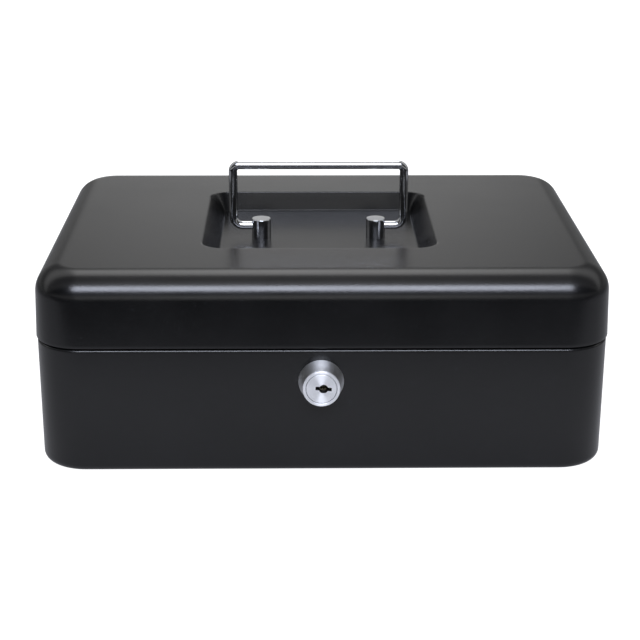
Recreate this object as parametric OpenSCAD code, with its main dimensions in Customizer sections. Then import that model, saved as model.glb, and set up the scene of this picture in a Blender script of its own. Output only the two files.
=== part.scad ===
// Steel cash box with a key lock, a folding wire handle in a recessed lid and a lift-out coin tray.
// Millimetres, +Z up. The origin is the centre of the base's underside, and the lock faces -Y.

/* [Box] */
// Width over the edge of the lid
box_w = 250; // [240:5:280]
// Depth over the edge of the lid
box_d = 180; // [175:5:200]
// Height of the closed box
box_h = 90; // [88:1:100]
// Corner radius in plan, at the edge of the lid
corner_r = 21; // [18:0.5:24]
// Thickness of the pressed steel
sheet = 0.8; // [0.6:0.1:1]
// Sideways offset of the lock, the recess and the handle from the middle of the box
offset_x = -0.9; // [-1:0.1:1]

/* [Lid] */
// Height of the lid's side
lid_h = 32.2; // [31:0.2:34]
// Radius along the top edge of the lid
lid_edge_r = 12; // [9:0.5:13]
// Inward lean of the lid's sides, in degrees
lid_lean = 1.8; // [0.5:0.1:2.5]

/* [Base] */
// Radius along the bottom edge of the base
base_edge_r = 3.7; // [2.5:0.1:6]
// How far the base's wall stands inside the lid's edge
base_inset = 0.5; // [0.4:0.1:0.8]
// Gap between the lid's edge and the base's shoulder
seam_gap = 0.8; // [0.6:0.1:1]
// Height of the inner lip that the lid closes over
lip_h = 8; // [6:0.5:9]

/* [Handle recess] */
// Width of the recess at its mouth
well_w = 106; // [100:1:120]
// Front-to-back size of the recess at its mouth
well_d = 95; // [90:1:105]
// Depth of the recess
well_depth = 9.2; // [8.6:0.1:10]
// How far each end wall slopes in
well_slope_x = 7; // [5:0.5:8]
// How far the front and back walls slope in
well_slope_y = 2; // [1:0.5:4]

/* [Handle] */
// Diameter of the handle's wire
wire_d = 4; // [3.6:0.1:4.4]
// Outside width of the handle
bail_w = 84; // [80:1:90]
// Height of the handle's top bar over its pivot
bail_h = 29.2; // [24:0.2:31]
// Diameter of each handle post
post_d = 9; // [8.6:0.1:10]
// Distance between the two posts
post_gap = 54; // [50:1:58]

/* [Lock] */
// Height of the lock's axis
lock_z = 42.6; // [42:0.1:45]
// How far the lock stands out of the front wall
lock_out = 9; // [8:0.5:13]
// Diameter of the lock's face
lock_face_d = 16; // [15.6:0.1:17]
// Diameter of the lock where it meets the wall
lock_root_d = 19.6; // [18.6:0.1:21]
// Diameter of the plug that the key turns
plug_d = 13.2; // [12.8:0.1:13.6]
// Angle that the keyway is turned from level, in degrees
keyway_tilt = 4.5; // [0:0.5:8]

/* [Hinges] */
// Distance of each hinge from the middle of the box
hinge_x = 72; // [60:1:80]
// Number of knuckles in one hinge
knuckles = 5; // [3:2:5]
// Length of one hinge
hinge_len = 30; // [26:1:36]

/* [Coin tray] */
// Height of the tray's floor over the table
tray_low = 30.5; // [29:0.5:32]
// Height of the tray's rim over the table
tray_high = 58.5; // [56:0.5:60]
// Wall thickness of the tray
tray_wall = 1.6; // [1.4:0.1:2]
// Number of round-bottomed coin cups
coin_cups = 5; // [4:1:5]

/* [Hidden] */
$fn = 64;
eps = 0.01;
overcut = 1;
half_w = box_w / 2;
half_d = box_d / 2;
seam_z = box_h - lid_h;
ledge_z = seam_z - seam_gap;
corner_x = half_w - corner_r;
corner_y = half_d - corner_r;
round_steps = 10;

// Base: the wall's outside, its rounded shoulder and the lip that stands up inside the lid
base_r = corner_r - base_inset;
shoulder_r = 1.1;
lip_set = 1.3;
lip_root = 3;
lip_r = base_r - lip_set;
front_wall = corner_y + base_r;

// Handle recess
well_y = -1.6;
well_corner_r = 10;
well_mouth_r = 1.5;
well_floor_r = 1.5;
well_mouth_turn = 82;
well_skin_turn = 74;
well_over = 2;
well_floor_z = box_h - well_depth;
rib_steps = 8;
arc_steps = 5;

// Handle
wire_r = wire_d / 2;
pivot_h = 5.8;
pivot_z = well_floor_z + pivot_h;
pivot_gap = 0.08;
post_x = post_gap / 2;
post_r = post_d / 2;
bail_x = (bail_w - wire_d) / 2;
bail_foot_x = 25.3;
bail_top_bend = 2.8;
bail_foot_bend = 4.4;
post_bore_end = 25;
post_chamfer = 0.3;
screw_r = 1.5;
screw_hole_r = 1.7;
screw_head_r = 2.8;
screw_head_h = 1.9;
screw_len = 4;
screw_end_gap = 0.5;
washer_t = 0.5;
post_washer_r = 3.5;

// Lock, with heights counted outward from the middle of the box
wall_out = front_wall;
wall_in = front_wall - sheet;
face_at = wall_out + lock_out;
face_r = lock_face_d / 2;
root_r = lock_root_d / 2;
face_round = 0.6;
shank_r = 8;
shank_flat = 7;
shank_gap = 0.1;
lock_washer_t = 1;
lock_washer_r = 11;
nut_t = 3.5;
nut_flats = 20;
shank_past_nut = 0.8;
shank_end = wall_in - lock_washer_t - nut_t - shank_past_nut;
plug_r = plug_d / 2;
plug_gap = 0.06;
plug_head_t = 3.3;
plug_body_r = 5;
face_step = 0.15;
cam_t = 2;
cam_gap = 0.2;
cam_top = shank_end - cam_gap;
cam_w = 6.4;
cam_len = 18;
cam_hub_r = 5.5;
tang_w = 5;
tang_gap = 0.05;
stop_in_r = 6;
stop_out_r = 6.7;
stop_from = 124;
stop_sweep = 202;
keyway_x = 0.9;
keyway_len = 6.9;
keyway_h = 1.75;
keyway_eye_r = 2;
keyway_depth = 13;
wafers = 5;
wafer_pitch = 1.9;
wafer_t = 0.9;
wafer_h = 5.4;
wafer_gap = 0.1;
wafer_eye_len = 5.5;
wafer_eye_h = 2.6;
wafer_eye_step = 0.6;
wafer_set = 1.6;
wafer_from = face_at - plug_head_t - wafer_set;
cam_screw_r = 1.5;
cam_screw_len = 5.6;
cam_screw_head_r = 3.2;
cam_screw_head_h = 2;
head_chamfer = 0.6;
cross_len = 3.4;
cross_w = 0.8;
cross_depth = 1.2;

// Strike: a strap hanging inside the lid, with a shelf that the lock's tongue swings over
strike_x = 11.3;
strike_w = 10;
strike_t = 1.2;
strike_y = -86;
strike_weld_low = seam_z + 9.5;
strike_weld_high = seam_z + 20;
strike_gap = 0.4;
strike_joggle_h = 2.5;
strike_bend = 0.5;
shelf_top = lock_z - cam_w / 2 - strike_gap;
shelf_end_y = -79;

// Hinges: the knuckles lie in notches across the seam, in line with the back wall
hinge_set = 0.6;
hinge_y = front_wall - hinge_set;
hinge_z = ledge_z;
knuckle_r = 2.4;
pin_r = 1.25;
knuckle_bore_r = 1.3;
leaf_t = 0.9;
leaf_h = 15;
leaf_joggle_from = 3;
leaf_joggle_to = 4.6;
leaf_bend = 0.4;
knuckle_gap = 0.3;
notch_r = 2.7;
notch_side = 0.5;
notch_over = 1;
pin_head_r = 1.7;
pin_head_t = 0.5;
knuckle_len = (hinge_len - knuckle_gap * (knuckles - 1)) / knuckles;

// Tray and its supports
tray_half_x = 119.5;
tray_half_y = 84.5;
tray_corner_r = 16;
tray_rim_t = 2;
tray_floor = tray_low + tray_wall;
tray_lock_x = 26;
tray_lock_y = -74.5;
cup_gap = 3;
cup_edge = 3.2;
cup_from_y = -8;
cup_w = (2 * (tray_half_x - cup_edge) - cup_gap * (coin_cups - 1)) / coin_cups;
cup_d = tray_half_y - cup_edge - cup_from_y;
cup_r = cup_w / 2;
cup_corner_r = 14;
cup_corner_set = 0.3;
pocket_r = 5;
pocket_to_y = -11;
pocket_front_y = -tray_half_y + cup_edge;
// Plans of the flat pockets along the front, as [left, right, front] edges
pocket_plans = [
    [-tray_half_x + cup_edge, -tray_lock_x - cup_edge, pocket_front_y],
    [-tray_lock_x, tray_lock_x, tray_lock_y + cup_edge],
    [tray_lock_x + cup_edge, tray_half_x - cup_edge, pocket_front_y]
];
support_w = 10;
support_h = 11;
support_len = 110;

// ---- Shared shapes ----

// Rounds to a micron, so that the runs and the corners of a pressed shape meet exactly
function micron(v) = round(v * 1000) / 1000;
function arc(cx, cz, r, from, to, steps) =
    [for (i = [0:steps])
        let (a = from + (to - from) * i / steps)
        [micron(cx + r * cos(a)), micron(cz + r * sin(a))]];

// Side view of a pressed shape's wall, from its lower edge up to its flat top. reach is how far the
// wall stands out from the corner centres at its lower edge, and lean is its inward slope.
function wall_profile(reach, low, high, lean, top_r, low_r) =
    let (round_z = high - top_r, round_x = reach - (round_z - low) * tan(lean) - top_r / cos(lean))
    concat(
        low_r > 0 ? arc(reach - low_r, low + low_r, low_r, -90, 0, round_steps) : [[micron(reach), low]],
        top_r > 0 ? arc(round_x, round_z, top_r, lean, 90, round_steps) : [[micron(round_x), high]]
    );

// Whole side view of a run that is out beyond the middle, with both of its walls
module run_profile(out, wall) {
    polygon(concat(
        [for (p = wall) [out + p[0], p[1]]],
        [for (i = [len(wall) - 1:-1:0]) [-out - wall[i][0], wall[i][1]]]
    ));
}

// A solid with rounded corners whose plan is r beyond the corner centres at its lower edge
module pressed_form(r, low, high, lean = 0, top_r = 0, low_r = 0) {
    wall = wall_profile(r, low, high, lean, top_r, low_r);
    rotate([90, 0, 90])
        linear_extrude(2 * corner_x, center = true)
            run_profile(corner_y, wall);
    rotate([90, 0, 0])
        linear_extrude(2 * corner_y, center = true)
            run_profile(corner_x, wall);
    for (sx = [-1, 1], sy = [-1, 1])
        translate([sx * corner_x, sy * corner_y, 0])
            rotate([0, 0, sx > 0 ? (sy > 0 ? 0 : 270) : (sy > 0 ? 90 : 180)])
                rotate_extrude(angle = 90)
                    polygon(concat([[0, low]], wall, [[0, high]]));
}

// A flat rounded rectangle
module rounded_rect(w, d, r) {
    square([w - 2 * r, d], center = true);
    square([w, d - 2 * r], center = true);
    for (sx = [-1, 1], sy = [-1, 1])
        translate([sx * (w / 2 - r), sy * (d / 2 - r)])
            circle(r);
}

// Places children on the lock's axis, with Z pointing out of the front wall
module on_lock_axis() {
    translate([offset_x, 0, lock_z])
        rotate([90, 0, 0])
            children();
}

// ---- Handle recess ----

// Inward distance and depth of one point of the recess's wall, for a wall that slopes in by slope.
// t is the metal's thickness: 0 gives the inside of the recess, sheet gives its underside.
function wall_lean(slope) = atan(slope / well_depth);
function mouth_point(slope, t, turn) =
    let (lean = wall_lean(slope), centre = well_mouth_r * (1 - sin(lean)) / cos(lean))
    [(well_mouth_r - t) * cos(turn) - centre, well_mouth_r - (well_mouth_r - t) * sin(turn)];
function floor_point(slope, t, turn) =
    let (
        lean = wall_lean(slope),
        centre_d = well_depth - well_floor_r,
        centre = centre_d * tan(lean) + well_floor_r / cos(lean)
    )
    [centre - (well_floor_r + t) * cos(turn), centre_d + (well_floor_r + t) * sin(turn)];

// The wall's points from above the mouth down to the floor
function wall_points(slope, t) =
    let (
        lean = wall_lean(slope),
        first = t > 0 ? well_skin_turn : well_mouth_turn,
        start = mouth_point(slope, t, first),
        above = [start[0] - well_over, start[1] - well_over / tan(first)]
    )
    concat(
        t > 0 ? [[start[0], t / 2]] : [[above[0], -well_over], above],
        [for (i = [0:arc_steps]) mouth_point(slope, t, first + (lean - first) * i / arc_steps)],
        [for (i = [0:arc_steps]) floor_point(slope, t, lean + (90 - lean) * i / arc_steps)]
    );

// One vertical rib of the wall, at plan angle a on the corner whose centre is c
function rib(c, a, t) =
    let (slope = well_slope_x * pow(cos(a), 2) + well_slope_y * pow(sin(a), 2))
    [for (p = wall_points(slope, t))
        [c[0] + (well_corner_r - p[0]) * cos(a), c[1] + (well_corner_r - p[0]) * sin(a), box_h - p[1]]];
function ribs(t) =
    let (cx = well_w / 2 - well_corner_r, cy = well_d / 2 - well_corner_r)
    [for (q = [0:3], i = [0:rib_steps])
        let (centre = [offset_x + (q == 0 || q == 3 ? cx : -cx), well_y + (q < 2 ? cy : -cy)])
        rib(centre, 90 * (q + i / rib_steps), t)];

// The space of the recess, or that space grown by the metal's thickness
module recess(t) {
    all_ribs = ribs(t);
    count = len(all_ribs);
    rows = len(all_ribs[0]);
    polyhedron(
        points = [for (r = all_ribs, p = r) p],
        faces = concat(
            [[for (i = [count - 1:-1:0]) i * rows]],
            [[for (i = [0:count - 1]) i * rows + rows - 1]],
            [for (i = [0:count - 1], k = [0:rows - 2])
                [i * rows + k, i * rows + k + 1, ((i + 1) % count) * rows + k]],
            [for (i = [0:count - 1], k = [0:rows - 2])
                [i * rows + k + 1, ((i + 1) % count) * rows + k + 1, ((i + 1) % count) * rows + k]]
        )
    );
}

// ---- Base ----

// Slots for the two hinges, cut through whatever stands round the knuckles
module hinge_notches(low, high) {
    for (s = [-1, 1])
        translate([s * hinge_x, hinge_y, (low + high) / 2])
            cube([hinge_len + 2 * notch_side, 2 * (notch_r + notch_over), high - low], center = true);
}

module base_shell() {
    color("#202124")
        difference() {
            union() {
                pressed_form(base_r, 0, ledge_z, top_r = shoulder_r, low_r = base_edge_r);
                pressed_form(lip_r, ledge_z - lip_root, ledge_z + lip_h);
            }
            pressed_form(base_r - sheet, sheet, ledge_z - sheet, low_r = base_edge_r - sheet);
            pressed_form(lip_r - sheet, ledge_z - lip_root, ledge_z + lip_h + overcut);
            hinge_notches(ledge_z - notch_r, ledge_z + lip_h + overcut);
            on_lock_axis()
                translate([0, 0, wall_in - overcut])
                    linear_extrude(sheet + 2 * overcut)
                        shank_outline(shank_gap);
        }
}

module tray_support(side) {
    color("#2a2b2e")
        translate([side * (corner_x + base_r - sheet), 0, tray_low])
            rotate([90, 0, 0])
                linear_extrude(support_len, center = true)
                    mirror([side > 0 ? 1 : 0, 0]) {
                        translate([0, -support_h])
                            square([sheet, support_h]);
                        translate([0, -sheet])
                            square([support_w, sheet]);
                    }
}

// Cross slot in a screw head whose face is at height 0
module screw_cross() {
    translate([0, 0, -overcut])
        linear_extrude(overcut + cross_depth) {
            square([cross_len, cross_w], center = true);
            square([cross_w, cross_len], center = true);
        }
}

// ---- Lock ----

// The shank's round section with its two flats
module shank_outline(gap) {
    intersection() {
        circle(shank_r + gap);
        square([2 * (shank_flat + gap), 4 * shank_r], center = true);
    }
}

module lock_barrel() {
    color("#d5d7da")
        on_lock_axis()
            difference() {
                union() {
                    translate([0, 0, wall_out])
                        cylinder(h = lock_out - face_round, r1 = root_r, r2 = face_r);
                    translate([0, 0, face_at - face_round])
                        cylinder(h = face_round, r1 = face_r, r2 = face_r - face_round);
                    translate([0, 0, shank_end])
                        linear_extrude(wall_out - shank_end + overcut)
                            shank_outline(0);
                    translate([0, 0, shank_end - cam_t])
                        rotate_extrude(angle = stop_sweep, start = stop_from)
                            translate([stop_in_r, 0])
                                square([stop_out_r - stop_in_r, cam_t + overcut]);
                }
                translate([0, 0, face_at - plug_head_t])
                    cylinder(h = plug_head_t + overcut, r = plug_r + plug_gap);
                translate([0, 0, shank_end - overcut])
                    cylinder(h = lock_out + wall_out - shank_end, r = plug_body_r + plug_gap);
            }
}

module lock_washer() {
    color("#b9bcc0")
        on_lock_axis()
            translate([0, 0, wall_in - lock_washer_t])
                difference() {
                    cylinder(h = lock_washer_t, r = lock_washer_r);
                    translate([0, 0, -overcut])
                        cylinder(h = lock_washer_t + 2 * overcut, r = shank_r + shank_gap);
                }
}

module lock_nut() {
    color("#b9bcc0")
        on_lock_axis()
            translate([0, 0, wall_in - lock_washer_t - nut_t])
                difference() {
                    cylinder(h = nut_t, r = nut_flats / 2 / cos(30), $fn = 6);
                    translate([0, 0, -overcut])
                        cylinder(h = nut_t + 2 * overcut, r = shank_r + shank_gap);
                }
}

module keyway_outline() {
    rotate(-keyway_tilt)
        translate([keyway_x, 0]) {
            square([keyway_len, keyway_h], center = true);
            circle(keyway_eye_r);
        }
}

// Outline of one wafer's slot, or of the wafer in it
module wafer_outline(h) {
    rotate(-keyway_tilt)
        intersection() {
            circle(plug_body_r);
            square([4 * plug_body_r, h], center = true);
        }
}

module lock_plug() {
    head_top = face_at - face_step;
    color("#c9cbce")
        on_lock_axis()
            difference() {
                union() {
                    translate([0, 0, face_at - plug_head_t])
                        cylinder(h = plug_head_t - face_step, r = plug_r);
                    translate([0, 0, shank_end])
                        cylinder(h = face_at - plug_head_t - shank_end + eps, r = plug_body_r);
                    translate([-tang_w / 2, -tang_w / 2, cam_top - cam_t])
                        cube([tang_w, tang_w, shank_end - cam_top + cam_t + eps]);
                }
                translate([0, 0, head_top - keyway_depth])
                    linear_extrude(keyway_depth + overcut)
                        keyway_outline();
                for (i = [0:wafers - 1])
                    translate([0, 0, wafer_from - i * wafer_pitch])
                        linear_extrude(wafer_t + wafer_gap)
                            wafer_slot();
                translate([0, 0, cam_top - cam_t - overcut])
                    cylinder(h = cam_screw_len - cam_screw_head_h + overcut, r = cam_screw_r);
            }
}

// A slot that runs right across the plug
module wafer_slot() {
    rotate(-keyway_tilt)
        square([4 * plug_body_r, wafer_h + wafer_gap], center = true);
}

module lock_wafers() {
    color("#c8a24a")
        on_lock_axis()
            for (i = [0:wafers - 1])
                translate([0, 0, wafer_from + wafer_gap / 2 - i * wafer_pitch])
                    linear_extrude(wafer_t)
                        difference() {
                            wafer_outline(wafer_h);
                            rotate(-keyway_tilt)
                                translate([keyway_x + (i % 2 - 0.5) * wafer_eye_step, 0])
                                    square([wafer_eye_len, wafer_eye_h], center = true);
                        }
}

module lock_cam() {
    color("#aeb1b5")
        on_lock_axis()
            translate([0, 0, cam_top - cam_t])
                linear_extrude(cam_t)
                    difference() {
                        union() {
                            circle(cam_hub_r);
                            translate([-cam_w / 2, 0])
                                square([cam_w, cam_len - cam_w / 2]);
                            translate([0, cam_len - cam_w / 2])
                                circle(cam_w / 2);
                        }
                        square(tang_w + 2 * tang_gap, center = true);
                    }
}

module cam_screw() {
    color("#9a9da1")
        on_lock_axis()
            difference() {
                union() {
                    translate([0, 0, cam_top - cam_t - cam_screw_head_h])
                        cylinder(
                            h = cam_screw_head_h,
                            r1 = cam_screw_head_r - head_chamfer,
                            r2 = cam_screw_head_r
                        );
                    translate([0, 0, cam_top - cam_t - eps])
                        cylinder(h = cam_screw_len - cam_screw_head_h - screw_end_gap, r = cam_screw_r);
                }
                translate([0, 0, cam_top - cam_t - cam_screw_head_h])
                    screw_cross();
            }
}

// ---- Lid ----

module lid_shell() {
    skin = sheet / cos(lid_lean) - overcut * tan(lid_lean);
    inside_z = seam_z - overcut;
    color("#202124")
        difference() {
            union() {
                difference() {
                    pressed_form(corner_r, seam_z, box_h, lid_lean, lid_edge_r);
                    pressed_form(corner_r - skin, inside_z, box_h - sheet, lid_lean, lid_edge_r - sheet);
                }
                recess(sheet);
            }
            recess(0);
            hinge_notches(inside_z, ledge_z + notch_r);
            for (s = [-1, 1])
                translate([offset_x + s * post_x, well_y, well_floor_z - sheet - overcut])
                    cylinder(h = sheet + 2 * overcut, r = screw_hole_r);
        }
}

// Inside face of the lid's front wall at height z
function lid_front_in(z) = -(half_d - (z - seam_z) * tan(lid_lean) - sheet / cos(lid_lean));

module strike_plate() {
    low_in = lid_front_in(strike_weld_low);
    high_in = lid_front_in(strike_weld_high);
    drop = strike_weld_low - strike_joggle_h;
    color("#8f9296")
        translate([strike_x, 0, 0])
            rotate([90, 0, 90])
                linear_extrude(strike_w)
                    polygon([
                        [high_in, strike_weld_high], [low_in, strike_weld_low],
                        [strike_y, drop], [strike_y, shelf_top - strike_t],
                        [shelf_end_y, shelf_top - strike_t], [shelf_end_y, shelf_top],
                        [strike_y + strike_t, shelf_top], [strike_y + strike_t, drop + strike_bend],
                        [low_in + strike_t, strike_weld_low + strike_bend],
                        [high_in + strike_t, strike_weld_high]
                    ]);
}

// ---- Hinges ----

// Side view of a leaf's plate: it starts on the knuckle, joggles out and lies against a wall.
// The first axis runs outward from the hinge's axis and the second away from the seam.
module leaf_plate(wall, lean, from) {
    inner = -knuckle_r;
    reach = leaf_h + leaf_joggle_to;
    shift = reach * tan(lean);
    polygon([
        [inner, from], [inner + leaf_t, from], [inner + leaf_t, leaf_joggle_from],
        [wall, leaf_joggle_to], [wall - shift, reach], [wall - leaf_t - shift, reach],
        [wall - leaf_t, leaf_joggle_to + leaf_bend], [inner, leaf_joggle_from + leaf_bend]
    ]);
}

// One leaf: dir is -1 for the base's leaf and 1 for the lid's, first is its first knuckle
module hinge_leaf(side, dir, wall, lean, first) {
    step = knuckle_len + knuckle_gap;
    color("#8f9296")
        translate([side * hinge_x - hinge_len / 2, hinge_y, hinge_z])
            rotate([90, 0, 90])
                difference() {
                    union() {
                        linear_extrude(hinge_len)
                            facing(dir)
                                leaf_plate(wall, lean, knuckle_r + knuckle_gap);
                        for (i = [first:2:knuckles - 1])
                            translate([0, 0, i * step])
                                linear_extrude(knuckle_len) {
                                    circle(knuckle_r);
                                    facing(dir)
                                        leaf_plate(wall, lean, 0);
                                }
                    }
                    translate([0, 0, -overcut])
                        cylinder(h = hinge_len + 2 * overcut, r = knuckle_bore_r);
                }
}

// Turns a side view upside down when dir is -1
module facing(dir) {
    mirror([0, dir < 0 ? 1 : 0])
        children();
}

module hinge_base_leaf(side) {
    hinge_leaf(side, -1, corner_y + base_r - sheet - hinge_y, 0, 0);
}

module hinge_lid_leaf(side) {
    lid_wall = -lid_front_in(hinge_z + leaf_joggle_to) - hinge_y;
    hinge_leaf(side, 1, lid_wall, lid_lean, 1);
}

module hinge_pin(side) {
    color("#aeb1b5")
        translate([side * hinge_x - hinge_len / 2, hinge_y, hinge_z])
            rotate([0, 90, 0]) {
                cylinder(h = hinge_len, r = pin_r);
                for (z = [-pin_head_t, hinge_len])
                    translate([0, 0, z])
                        cylinder(h = pin_head_t, r = pin_head_r);
            }
}

// ---- Handle ----

module handle_post(side) {
    color("#d5d7da")
        translate([offset_x + side * post_x, well_y, 0])
            difference() {
                union() {
                    translate([0, 0, well_floor_z])
                        cylinder(h = well_depth - post_chamfer, r = post_r);
                    translate([0, 0, box_h - post_chamfer])
                        cylinder(h = post_chamfer, r1 = post_r, r2 = post_r - post_chamfer);
                }
                translate([0, 0, pivot_z])
                    rotate([0, side * 90, 0])
                        translate([0, 0, post_bore_end - post_x])
                            cylinder(h = 2 * post_r, r = wire_r + pivot_gap);
                translate([0, 0, well_floor_z - overcut])
                    cylinder(h = screw_len + overcut - sheet, r = screw_r);
            }
}

module post_washers() {
    color("#b9bcc0")
        for (s = [-1, 1])
            translate([offset_x + s * post_x, well_y, well_floor_z - sheet - washer_t])
                difference() {
                    cylinder(h = washer_t, r = post_washer_r);
                    translate([0, 0, -overcut])
                        cylinder(h = washer_t + 2 * overcut, r = screw_hole_r);
                }
}

module post_screws() {
    head_top = well_floor_z - sheet - washer_t;
    color("#9a9da1")
        for (s = [-1, 1])
            translate([offset_x + s * post_x, well_y, head_top - screw_head_h])
                difference() {
                    union() {
                        cylinder(h = head_chamfer, r1 = screw_head_r - head_chamfer, r2 = screw_head_r);
                        translate([0, 0, head_chamfer])
                            cylinder(h = screw_head_h - head_chamfer, r = screw_head_r);
                        translate([0, 0, screw_head_h - eps])
                            cylinder(h = screw_len + washer_t - screw_end_gap, r = screw_r);
                    }
                    screw_cross();
                }
}

// A quarter turn of the wire with its centre at the origin, from +X to +Z
module wire_bend(bend_r) {
    rotate([90, 0, 0])
        rotate_extrude(angle = 90)
            translate([bend_r, 0])
                circle(wire_r);
}

module handle_bail() {
    top_z = pivot_z + bail_h;
    color("#d5d7da")
        translate([offset_x, well_y, 0]) {
            translate([0, 0, top_z])
                rotate([0, 90, 0])
                    cylinder(h = 2 * (bail_x - bail_top_bend), r = wire_r, center = true);
            for (s = [0, 1])
                mirror([s, 0, 0]) {
                    translate([bail_x - bail_top_bend, 0, top_z - bail_top_bend])
                        wire_bend(bail_top_bend);
                    translate([bail_x, 0, pivot_z + bail_foot_bend])
                        cylinder(h = bail_h - bail_top_bend - bail_foot_bend, r = wire_r);
                    translate([bail_x - bail_foot_bend, 0, pivot_z + bail_foot_bend])
                        mirror([0, 0, 1])
                            wire_bend(bail_foot_bend);
                    translate([bail_foot_x, 0, pivot_z])
                        rotate([0, 90, 0])
                            cylinder(h = bail_x - bail_foot_bend - bail_foot_x, r = wire_r);
                }
        }
}

// ---- Coin tray ----

// Plan of the tray's rim, with the bay at the front that clears the lock
module tray_plan() {
    difference() {
        rounded_rect(2 * tray_half_x, 2 * tray_half_y, tray_corner_r);
        translate([-tray_lock_x, -tray_half_y - overcut])
            square([2 * tray_lock_x, tray_lock_y + tray_half_y + overcut]);
    }
}

// One round-bottomed coin cup, grown by the wall's thickness for its outside
module coin_cup(grow, top) {
    axis_z = tray_floor + cup_r;
    translate([0, cup_from_y - grow, 0]) {
        intersection() {
            translate([0, 0, axis_z])
                rotate([-90, 0, 0])
                    cylinder(h = cup_d + 2 * grow, r = cup_r + grow);
            translate([-cup_w, -overcut, tray_floor - grow - overcut])
                cube([2 * cup_w, cup_d + 2 * grow + 2 * overcut, axis_z - tray_floor + grow + overcut]);
        }
        translate([-cup_r - grow, 0, axis_z])
            cube([cup_w + 2 * grow, cup_d + 2 * grow, top - axis_z]);
    }
}

// The whole row of cups, rounded off at the tray's back corners
module coin_cup_row(grow, top) {
    round_w = 2 * (tray_half_x - cup_edge + cup_corner_set + grow);
    round_d = 2 * (tray_half_y - cup_edge + cup_corner_set + grow);
    intersection() {
        for (i = [0:coin_cups - 1])
            translate([(i - (coin_cups - 1) / 2) * (cup_w + cup_gap), 0, 0])
                coin_cup(grow, top);
        translate([0, 0, tray_low - overcut])
            linear_extrude(top - tray_low + 2 * overcut)
                rounded_rect(round_w, round_d, cup_corner_r + grow);
    }
}

module pocket(plan, grow, top) {
    w = plan[1] - plan[0];
    d = pocket_to_y - plan[2];
    translate([(plan[0] + plan[1]) / 2, plan[2] + d / 2, tray_floor - grow])
        linear_extrude(top - tray_floor + grow)
            rounded_rect(w + 2 * grow, d + 2 * grow, pocket_r + grow);
}

module coin_tray() {
    color("#3a3b3f")
        difference() {
            union() {
                translate([0, 0, tray_high - tray_rim_t])
                    linear_extrude(tray_rim_t)
                        tray_plan();
                coin_cup_row(tray_wall, tray_high - eps);
                for (plan = pocket_plans)
                    pocket(plan, tray_wall, tray_high - eps);
            }
            coin_cup_row(0, tray_high + overcut);
            for (plan = pocket_plans)
                pocket(plan, 0, tray_high + overcut);
        }
}

base_shell();
tray_support(-1);  // tray_support_left
tray_support(1);  // tray_support_right
lock_barrel();
lock_washer();
lock_nut();
hinge_base_leaf(-1);  // hinge_base_leaf_left
hinge_base_leaf(1);  // hinge_base_leaf_right
hinge_pin(-1);  // hinge_pin_left
hinge_pin(1);  // hinge_pin_right
lock_plug();
lock_wafers();
lock_cam();
cam_screw();
lid_shell();
strike_plate();
hinge_lid_leaf(-1);  // hinge_lid_leaf_left
hinge_lid_leaf(1);  // hinge_lid_leaf_right
handle_post(-1);  // handle_post_left
handle_post(1);  // handle_post_right
post_washers();
post_screws();
handle_bail();
coin_tray();
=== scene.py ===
"""Looks of the steel cash box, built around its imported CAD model. Metres, +Z up, the lock faces -Y."""

import math

import bmesh
import bpy
from mathutils import Matrix, Vector


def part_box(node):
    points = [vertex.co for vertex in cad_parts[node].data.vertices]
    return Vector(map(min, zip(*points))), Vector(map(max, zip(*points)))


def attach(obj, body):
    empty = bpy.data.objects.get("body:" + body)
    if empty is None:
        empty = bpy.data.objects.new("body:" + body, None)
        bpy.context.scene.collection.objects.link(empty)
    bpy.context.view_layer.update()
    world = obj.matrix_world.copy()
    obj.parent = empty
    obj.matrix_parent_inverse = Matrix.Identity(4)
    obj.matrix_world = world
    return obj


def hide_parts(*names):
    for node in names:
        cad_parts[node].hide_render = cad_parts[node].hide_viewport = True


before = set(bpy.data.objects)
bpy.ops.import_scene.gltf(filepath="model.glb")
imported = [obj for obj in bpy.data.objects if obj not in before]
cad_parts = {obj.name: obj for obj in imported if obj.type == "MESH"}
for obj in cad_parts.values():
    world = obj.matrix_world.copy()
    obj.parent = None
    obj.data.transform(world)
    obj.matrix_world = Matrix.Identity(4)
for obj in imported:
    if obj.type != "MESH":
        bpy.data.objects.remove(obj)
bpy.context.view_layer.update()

MM = 0.001

# ---- Places and sizes that come from the frame ----

base_low, base_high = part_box("base_shell")
lid_low, lid_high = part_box("lid_shell")
post_low, post_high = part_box("handle_post_right")
bail_low, bail_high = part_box("handle_bail")
lock_low, lock_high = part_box("lock_barrel")
plug_low, plug_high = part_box("lock_plug")
tray_low, tray_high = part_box("coin_tray")

# ---- Radii and steps of the real parts, as in the CAD ----

SHEET = 0.8 * MM
HOLD = 1 * MM  # how far from a rounding its close ring lies, so that the flat beside it is shaded flat
PAST = 1 * MM  # how far a cutting tool reaches past the surface it cuts
CORNER_STEPS = 20
ARC_STEPS = 14

LID_CORNER_R = 21 * MM
LID_EDGE_R = 12 * MM
LID_LEAN = math.radians(1.8)
CORNER_X = lid_high.x - LID_CORNER_R
CORNER_Y = lid_high.y - LID_CORNER_R

BASE_R = base_high.x - CORNER_X
BASE_EDGE_R = 3.7 * MM
SEAM = 0.8 * MM
LEDGE_Z = lid_low.z - SEAM
SHOULDER_R = 1.1 * MM
LIP_STEP = 1.3 * MM
LIP_R = BASE_R - LIP_STEP
RIM_R = 0.3 * MM

WELL_W = 106 * MM
WELL_D = 95 * MM
WELL_DEPTH = 9.2 * MM
WELL_SLOPE_X = 7 * MM
WELL_SLOPE_Y = 2 * MM
WELL_CORNER_R = 10 * MM
WELL_FILLET_X = 1.5 * MM
WELL_FILLET_Y = 0.5 * MM
WELL_LEAST_R = 0.1 * MM

HINGE_X = 72 * MM
HINGE_Y = 88.9 * MM
HINGE_LEN = 30 * MM
NOTCH_R = 2.7 * MM
NOTCH_SIDE = 0.5 * MM

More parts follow.
